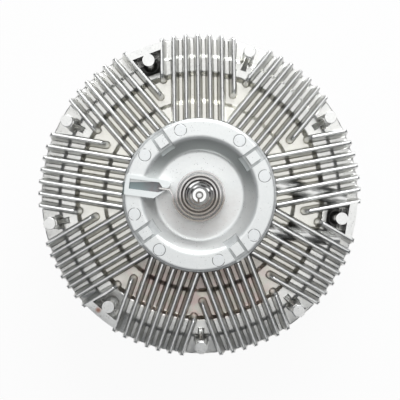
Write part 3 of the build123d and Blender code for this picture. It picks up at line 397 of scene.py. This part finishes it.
def dish_shade_and_tint(spot, broken, colour):
    """The painted shade on the upper wall, the darker lower floor and the painted shadow under the coil.
    """
    # The upper wall of the dish is painted grey as shade.
    wall = rising(spot.reach, *wall_foot) * falling(spot.reach, *wall_top)
    upper = rising(spot.right * wall_shade_right + spot.up * wall_shade_up, *wall_shade_rise)
    upper = upper * (spot.height < wall_shade_highest)
    colour = mixed(wall * upper * 0.8, colour, wall_shade_grey)
    # The lower half of the dish floor is coloured warmer and darker.
    lower_floor = falling(spot.reach, *lower_floor_edge) * falling(spot.up, *lower_floor_rise)
    lower_floor = lower_floor * (spot.height < lower_floor_highest)
    colour = mixed(lower_floor * (broken * 0.5 + 0.1), colour, lower_floor_tint)
    # The floor under the coil is painted dark as the coil's shadow, black in the middle.
    coil_shadow = falling(spot.reach, *coil_shadow_edge) * (spot.height < coil_shadow_highest)
    colour = mixed(coil_shadow * 0.85, colour, mixed(rising(spot.up, *coil_shadow_rise), coil_shadow_brown, coil_shadow_dark))
    return mixed(coil_shadow * falling(spot.reach, *middle_edge) * 0.9, colour, middle_shadow_black)


print("dish wall from", round(wall_foot[0] * 1000, 1), "to", round(wall_top[1] * 1000, 1), "mm")

# %% [markdown]
# The cap is paler and rougher than the finned casting, and less of a mirror. Its finish is the cast
# metal above, with the tool marks, the painted shade, the residue and the darker tint laid over it in
# turn. One finish for the whole cap needs no faces picked out by hand.

# %% Finish: cap
broken_scale = 260.0


def cap_marks(place, colour, relief):
    """All that shows on the cap, in the order in which it lies on the metal."""
    spot = polar(place)
    quarter = abs(place.math("WRAP", spot.turn - channel_angle, pi / 4, -pi / 4))
    broken = noise(place, broken_scale, 1.0)
    colour, relief = tool_marks(spot, quarter, broken, colour, relief)
    colour = arm_and_channels(spot, quarter, broken, colour)
    return dish_shade_and_tint(spot, broken, colour), relief, 0.0


cast_cap = cast_finish(
    "cast_cap", light=(0.975, 0.985, 0.975), dark=(0.905, 0.922, 0.915),
    roughness=(0.36, 0.48), metal_share=0.6, marks=cap_marks,
)
print("finish", cast_cap.name)

# %% [markdown]
# The low flats between the fins are tinted yellowish. Towards the bottom they are darker and greyer,
# below the cap they carry painted pinkish and yellowish reflections, and next to the cap a painted shadow
# of the cap, partly soot, makes them nearly black. The crests of the fins are left out, so each mask is
# cut off at one height.

# %% Tints, painted reflections and painted shadow between the fins
low_colour_top = 0.0665
low_colour_fade = 0.004
ring_start = 0.094
tint_end = 0.099
ring_fade = 0.100
lower_dark_rise = (-0.070, -0.015)
reflection_rise = (-0.062, -0.048)
reflection_sides = (0.040, 0.070)
reflection_hue_scale = 150.0
reflection_hues = (0.44, 0.56)
under_cap_edge = (0.064, 0.082)
under_cap_rise = (-0.058, -0.036)
low_flat_tint = (0.85, 0.83, 0.75, 1.0)
lower_dark_colour = (0.42, 0.39, 0.365, 1.0)
reflection_pink = (0.62, 0.41, 0.38, 1.0)
reflection_yellow = (0.50, 0.46, 0.37, 1.0)
cap_shadow_and_soot_dark = (0.17, 0.135, 0.12, 1.0)


def low_colours(place, spot, blotch, colour):
    """The tints, painted reflections and painted shadow on the low parts of the finned casting."""
    low = falling(spot.height, low_colour_top, low_colour_top + low_colour_fade)
    thinned = 1 - rising(spot.reach, ring_start, tint_end) * 0.75
    colour = mixed(low * (blotch * 0.5 + 0.35) * thinned, colour, low_flat_tint)
    inside_ring = falling(spot.reach, ring_start, ring_fade)
    # Darker and greyer towards the bottom.
    lower_dark = falling(spot.up, *lower_dark_rise) * low * (0.05 + inside_ring * 0.95)
    colour = mixed(lower_dark * (0.06 + blotch * 0.4), colour, lower_dark_colour)
    # Painted pinkish and yellowish reflections below the cap.
    pink_reflection = falling(spot.up, *reflection_rise) * inside_ring * falling(abs(spot.right), *reflection_sides) * low
    reflection_hue = mixed(rising(noise(place, reflection_hue_scale, 2.0), *reflection_hues), reflection_pink, reflection_yellow)
    colour = mixed(pink_reflection * blotch * 0.9, colour, reflection_hue)
    # Painted shadow of the cap, partly soot, next to the cap.
    under_cap = falling(spot.reach, *under_cap_edge) * falling(spot.up, *under_cap_rise) * low
    return mixed(under_cap * (0.25 + blotch * 0.6), colour, cap_shadow_and_soot_dark)


print("films fade out from", round(low_colour_top * 1000, 1), "mm above the floor")

# %% [markdown]
# Two of the three pockets in the rim are painted black inside as shade. The third, at the lower left, is
# dull and grey instead: there the mask is nearly off, and takes away the metal's shine. A rust spot
# lies on the frame round that pocket. The angle is wrapped into thirds, so one mask serves all three.

# %% Painted shade in the pockets, and rust
first_pocket_angle = 110.7
pocket_floor = 0.0604
pocket_height = 0.019
pocket_start = 0.101
pocket_end = 0.1165
floor_layer = (pocket_floor - 0.0003, pocket_floor + 0.0006)
floor_half_width = 0.013
wall_half_width = 0.0080
grey_pocket_right = -0.060
pocket_shade_black = (0.025, 0.025, 0.024, 1.0)
rust_place = (-0.0765, -0.0866, 0.0878)
rust_edge = (0.0006, 0.0032)
rust_colour = (0.38, 0.17, 0.11, 1.0)


def pocket_shade_and_rust(place, spot, blotch, colour):
    """The pockets painted black as shade, the rust spot, and how much of the metal's shine is gone."""
    pocket_turn = place.math("WRAP", spot.turn - radians(first_pocket_angle), pi / 3, -pi / 3)
    beside = abs(pocket_turn * spot.reach)
    on_floor = inside(spot.height, *floor_layer) * (beside < floor_half_width)
    on_walls = inside(spot.height, pocket_floor, pocket_floor + pocket_height)
    on_walls = on_walls * (beside < wall_half_width) * (spot.reach < pocket_end)
    in_pocket = place.math("MAXIMUM", on_floor, on_walls) * (spot.reach > pocket_start)
    grey_one = (spot.right < grey_pocket_right) * (spot.up < 0.0)
    # Two pockets are painted black as shade; in the third, the painted shade is nearly off.
    colour = mixed(in_pocket * (0.93 - grey_one * 0.88), colour, pocket_shade_black)
    from_rust = place.node(
        "ShaderNodeVectorMath", {"operation": "DISTANCE"}, out=1, i0=place, i1=rust_place
    )
    colour = mixed(falling(from_rust, *rust_edge) * (blotch + 0.30), colour, rust_colour)
    return colour, in_pocket * grey_one * 0.9


print("pockets from", round(pocket_start * 1000, 1), "to", round(pocket_end * 1000, 1), "mm")

# %% [markdown]
# The finned casting is bare and bright, so it is all metal, and the light's reflection between the fins
# does most of the work. Its own marks are the tints, painted shade, painted reflections and rust above,
# and blotches of noise break them up, because an even tint would look like paint.

# %% Finish: finned casting
blotch_scale = 85.0


def body_marks(place, colour, relief):
    """All that shows on the finned casting."""
    spot = polar(place)
    blotch = noise(place, blotch_scale, 3.0)
    colour = low_colours(place, spot, blotch, colour)
    colour, dull = pocket_shade_and_rust(place, spot, blotch, colour)
    return colour, relief, dull


cast_body = cast_finish(
    "cast_body", light=(0.90, 0.90, 0.885), dark=(0.74, 0.742, 0.735),
    roughness=(0.22, 0.36), metal_share=1.0, marks=body_marks,
)
print("finish", cast_body.name)

# %% [markdown]
# The shaft, the rings, the screws and the bearing are turned or rolled steel. Turning leaves fine
# rings round the axis, so the noise is stretched: it changes with the distance from the axis and hardly
# with the angle. Real grooves in the mesh would be too fine to see. The brass cage is made the same way.

# %% Finish: steel and brass
ring_scale = 2600.0
ring_turn_share = 0.002
steel_cloud_scale = 90.0


def steel_finish(name, light, dark, roughness, marks=None):
    """Turned metal between two tones and two roughnesses, with marks of its own if it has them."""
    material, shader, place = new_finish(name)
    spot = polar(place)
    rings = place.node("ShaderNodeCombineXYZ", X=spot.reach, Y=spot.turn * ring_turn_share)
    patch = noise(rings, ring_scale, 2.0) * 0.4 + noise(place, steel_cloud_scale, 3.0) * 0.6
    colour = two_tone(patch, 0.3, 0.7, dark, light)
    if marks:
        colour = marks(place, spot, colour)
    smoothest, roughest = roughness
    feed(shader, "Base Color", colour)
    feed(shader, "Roughness", patch * (roughest - smoothest) + smoothest)
    feed(shader, "Metallic", 1.0)
    return material


steel = steel_finish("steel", (0.66, 0.66, 0.66), (0.50, 0.50, 0.51), (0.22, 0.42))
brass = steel_finish("cage", (0.78, 0.62, 0.34), (0.62, 0.48, 0.24), (0.28, 0.45))
print("finishes", steel.name, brass.name)

# %% [markdown]
# The coil is bright rolled strip, seen on its edge. Its inner turns are painted with short white glints
# with black between them. Lamps placed for single glints would light the whole clutch, so a few big blots
# of noise paint them. The lower half of the coil is coloured darker and brown.

# %% Finish: coil
glint_scale = 190.0
glint_edge = (0.42, 0.58)
inner_turns = (0.0095, 0.0125)
lower_half_edge = (-0.0045, 0.0015)
glint_black = (0.04, 0.04, 0.04, 1.0)
glint_white = (0.97, 0.97, 0.97, 1.0)
coil_lower_tint = (0.26, 0.235, 0.21, 1.0)
coil_lower_inner_dark = (0.09, 0.08, 0.07, 1.0)


def coil_marks(place, spot, colour):
    """Painted glints on the inner turns, and the lower half coloured darker and brown."""
    inner = falling(spot.reach, *inner_turns)
    # Painted glints: blots of noise in white and black on the inner turns.
    glint = rising(noise(place, glint_scale, 0.0), *glint_edge)
    colour = mixed(inner, colour, mixed(glint, glint_black, glint_white))
    lower = falling(spot.up, *lower_half_edge)
    colour = mixed(lower * 0.93, colour, coil_lower_tint)
    return mixed(lower * inner * 0.6, colour, coil_lower_inner_dark)


coil_steel = steel_finish(
    "coil_strip", (0.70, 0.69, 0.68), (0.40, 0.38, 0.37), (0.12, 0.26), coil_marks
)
print("finish", coil_steel.name)

# %% [markdown]
# The end of the valve shaft, in the middle of the coil, is turned bright, with a dark groove round its
# eye. It is seen in the very middle of the picture, so it has a finish of its own. The groove is only a
# dark band in the colour, because at this size its depth would not show.

# %% Finish: end of the valve shaft
scratch_scale = 900.0
shaft_dark = (0.78, 0.78, 0.78)
shaft_light = (0.95, 0.95, 0.95)
eye_groove_reach = 0.0024
eye_groove_edge = (0.0004, 0.0008)
eye_groove_colour = (0.09, 0.085, 0.08, 1.0)

shaft_end, shader, place = new_finish("valve_shaft")
scratch = noise(place, scratch_scale, 2.0)
bright = two_tone(scratch, 0.3, 0.7, shaft_dark, shaft_light)
eye_groove = falling(abs(polar(place).reach - eye_groove_reach), *eye_groove_edge)
feed(shader, "Base Color", mixed(eye_groove * 0.9, bright, eye_groove_colour))
feed(shader, "Roughness", scratch * 0.2 + 0.15)
feed(shader, "Metallic", 1.0)
print("finish", shaft_end.name)

# %% [markdown]
# The seals are black rubber, matt and slightly dusty. A plain black would look like a hole, so one
# noise lifts the colour a little and makes it rougher where it is lighter, as dust does.

# %% Finish: rubber
rubber_dust_scale = 300.0
rubber_black = (0.012, 0.012, 0.012)
rubber_dusty = (0.05, 0.05, 0.05)

rubber, shader, place = new_finish("seal")
dust = noise(place, rubber_dust_scale, 3.0)
feed(shader, "Base Color", two_tone(dust, 0.3, 0.8, rubber_black, rubber_dusty))
feed(shader, "Roughness", dust * 0.2 + 0.6)
print("finish", rubber.name)

# %% [markdown]
# The record says which finish each piece takes. The CAD pieces already have the right shapes, so they
# are not copied: each only gets its material, and the valve shaft gets the one made for its end.

# %% Finishes onto the CAD nodes
finishes = {
    "cast_body": cast_body, "cast_cap": cast_cap, "steel": steel,
    "coil_strip": coil_steel, "cage": brass, "seal": rubber,
}
slot_of = {entry["node"]: entry["material_slot"] for entry in frame["record"]["subparts"]}
for name, node in nodes.items():
    node.data.materials.clear()
    node.data.materials.append(shaft_end if name == "valve_shaft" else finishes[slot_of[name]])
print("finished", len(nodes), "nodes")

# %% [markdown]
# A casting has no sharp edge anywhere: the die is cut with rounded tools, and each wall runs into the
# next in a small hollow. The CAD solid leaves those hollows out. One Bevel modifier can make them all,
# if each edge says how much of the width it takes. Inner corners take all of it, and so do outer edges
# below the ring's top, but higher outer edges only some. The fin tips and the pockets stay sharp,
# because edges lie close together there and a wide bevel would fold over itself.

# %% How round each edge is
inner_rounding = 0.0008
outer_rounding = 0.00035
least_bend = radians(28)
ring_top = 0.0663
tip_reach = 0.1190
pocket_step = 120
pocket_wall_turn = 10
pocket_wall_reach = 0.1085
pocket_round_reach = 0.1015
pocket_round_half = 0.0090


def left_sharp(place):
    """True at the fin tips and round the pockets."""
    turn = (degrees(atan2(place.y, place.x)) - first_pocket_angle) % pocket_step
    from_pocket = min(turn, pocket_step - turn)
    reach = place.xy.length
    if reach > tip_reach or (from_pocket < pocket_wall_turn and reach > pocket_wall_reach):
        return True
    return reach > pocket_round_reach and reach * radians(from_pocket) < pocket_round_half


def edge_weight(edge):
    """The share of the Bevel width that an edge takes, by the way its two faces lean."""
    middle = (edge.verts[0].co + edge.verts[1].co) / 2
    bend = edge.calc_face_angle_signed(0.0) if len(edge.link_faces) == 2 else 0.0
    if left_sharp(middle) or -least_bend <= bend <= least_bend:
        return 0.0
    if bend > 0 and middle.z >= ring_top:
        return outer_rounding / inner_rounding
    return 1.0


print("rounding", round(inner_rounding * 1000, 2), "and", round(outer_rounding * 1000, 2), "mm")

# %% [markdown]
# The casting with these corners is a copy of the CAD mesh. Its loose triangles are merged and its flats
# dissolved into single faces first, so that the bevel meets real edges only. Weighted normals at the end
# keep the flats flat, and leave all the turning to the narrow faces of the bevel.

# %% Rounded casting
merge_distance = 0.000005
flat_angle = radians(0.6)
smooth_angle = radians(35)
flat_weight = 80


def merged_copy(node_name):
    """A copy of a CAD mesh with its triangles merged into real faces, selected and active."""
    bpy.ops.object.select_all(action="DESELECT")
    casting = bpy.data.objects.new(node_name + "_cast", nodes[node_name].data.copy())
    bpy.context.scene.collection.objects.link(casting)
    casting.select_set(True)
    bpy.context.view_layer.objects.active = casting
    bpy.ops.object.mode_set(mode="EDIT")
    bpy.ops.mesh.select_all(action="SELECT")
    bpy.ops.mesh.remove_doubles(threshold=merge_distance)
    bpy.ops.mesh.dissolve_limited(angle_limit=flat_angle)
    bpy.ops.object.mode_set(mode="OBJECT")
    return casting


def weigh_edges(mesh):
    """Stores the weight of each edge where the Bevel modifier reads it."""
    shape = bmesh.new()
    shape.from_mesh(mesh)
    weights = [edge_weight(edge) for edge in shape.edges]
    shape.free()
    layer = mesh.attributes.new("bevel_weight_edge", "FLOAT", "EDGE")
    layer.data.foreach_set("value", weights)


def round_edges(casting):
    """Bevels the weighted edges and keeps the flats flat."""
    weigh_edges(casting.data)
    rounding = casting.modifiers.new("rounding", "BEVEL")
    rounding.limit_method = "WEIGHT"
    rounding.width = inner_rounding
    rounding.segments = 2
    rounding.use_clamp_overlap = False
    rounding.miter_outer = "MITER_SHARP"
    bpy.ops.object.modifier_apply(modifier="rounding")
    bpy.ops.object.shade_smooth_by_angle(angle=smooth_angle)
    flats = casting.modifiers.new("flats", "WEIGHTED_NORMAL")
    flats.mode = "FACE_AREA"
    flats.weight = flat_weight
    flats.keep_sharp = True
    bpy.ops.object.modifier_apply(modifier="flats")


front_casting = merged_copy("front_housing")
round_edges(front_casting)
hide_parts("front_housing")
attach(front_casting, "housing")
print("front casting", len(front_casting.data.polygons), "faces")

# %% [markdown]
# The clutch stands on its mounting flange on a pale floor. To the camera and in mirror images the floor
# is nearly white by itself. The rest of it is plain matt paint, which takes the soft shadow of the rim.
# Paint alone would be as uneven as the light on it. The floor is very large, so that no view shows its
# edge.

# %% Floor
floor_size = 40.0
floor_drop = 0.0005
floor_own_light = 0.94

bpy.ops.object.select_all(action="DESELECT")
bpy.ops.mesh.primitive_plane_add(size=floor_size, location=(0, 0, -floor_drop))
floor = bpy.context.object
floor.name = "floor"
floor_finish, shader, place = new_finish("floor")
feed(shader, "Base Color", (0.9, 0.9, 0.9, 1.0))
feed(shader, "Roughness", 0.9)
ray = place.node("ShaderNodeLightPath")
seen = ray.output("Is Camera Ray") + ray.output("Is Glossy Ray") + ray.output("Is Transmission Ray")
glow = place.node("ShaderNodeEmission", Color=(1.0, 1.0, 1.0, 1.0), Strength=1.0)
paint = Value(place.tree, shader.outputs["BSDF"])
surface = place.node("ShaderNodeMixShader", Fac=seen * floor_own_light, i1=paint, i2=glow)
place.tree.links.new(surface.socket, place.tree.nodes["Material Output"].inputs["Surface"])
floor.data.materials.append(floor_finish)
print("floor", floor_size, "m wide")

# %% [markdown]
# Small lamps would leave hard shadows and tiny highlights on bright metal, so the light comes from large
# soft panels, as in a studio. One above the camera lights every face that looks at it, so the floors
# between the fins shine and their steep sides stay dark. A stronger and lower one, beyond the top of the
# picture and a little to the right, lights the lower wall of the dish and leaves the upper one dark. A
# weak, slightly blue world fills in the rest.

# %% Lights
world_colour = (0.88, 0.93, 1.0, 1.0)
world_strength = 0.12
aim = Vector((0, 0, 0.05))

world = bpy.data.worlds.new("world")
bpy.context.scene.world = world
world.use_nodes = True
world.node_tree.nodes["Background"].inputs["Color"].default_value = world_colour
world.node_tree.nodes["Background"].inputs["Strength"].default_value = world_strength


def panel(name, place, size, power, colour):
    """A square soft light that looks at the clutch."""
    data = bpy.data.lights.new(name, "AREA")
    data.shape = "SQUARE"
    data.size = size
    data.energy = power
    data.color = colour
    lamp = bpy.data.objects.new(name, data)
    bpy.context.scene.collection.objects.link(lamp)
    lamp.location = place
    lamp.rotation_euler = (aim - Vector(place)).to_track_quat("-Z", "Y").to_euler()
    return lamp


front = panel("front", place=(0.05, 0.33, 1.6), size=1.45, power=7.5, colour=(1.0, 1.0, 0.99))
key = panel("key", place=(0.25, 1.6, 1.0), size=1.3, power=36.0, colour=(0.97, 0.99, 1.0))
print("lights", front.name, key.name)

# %% [markdown]
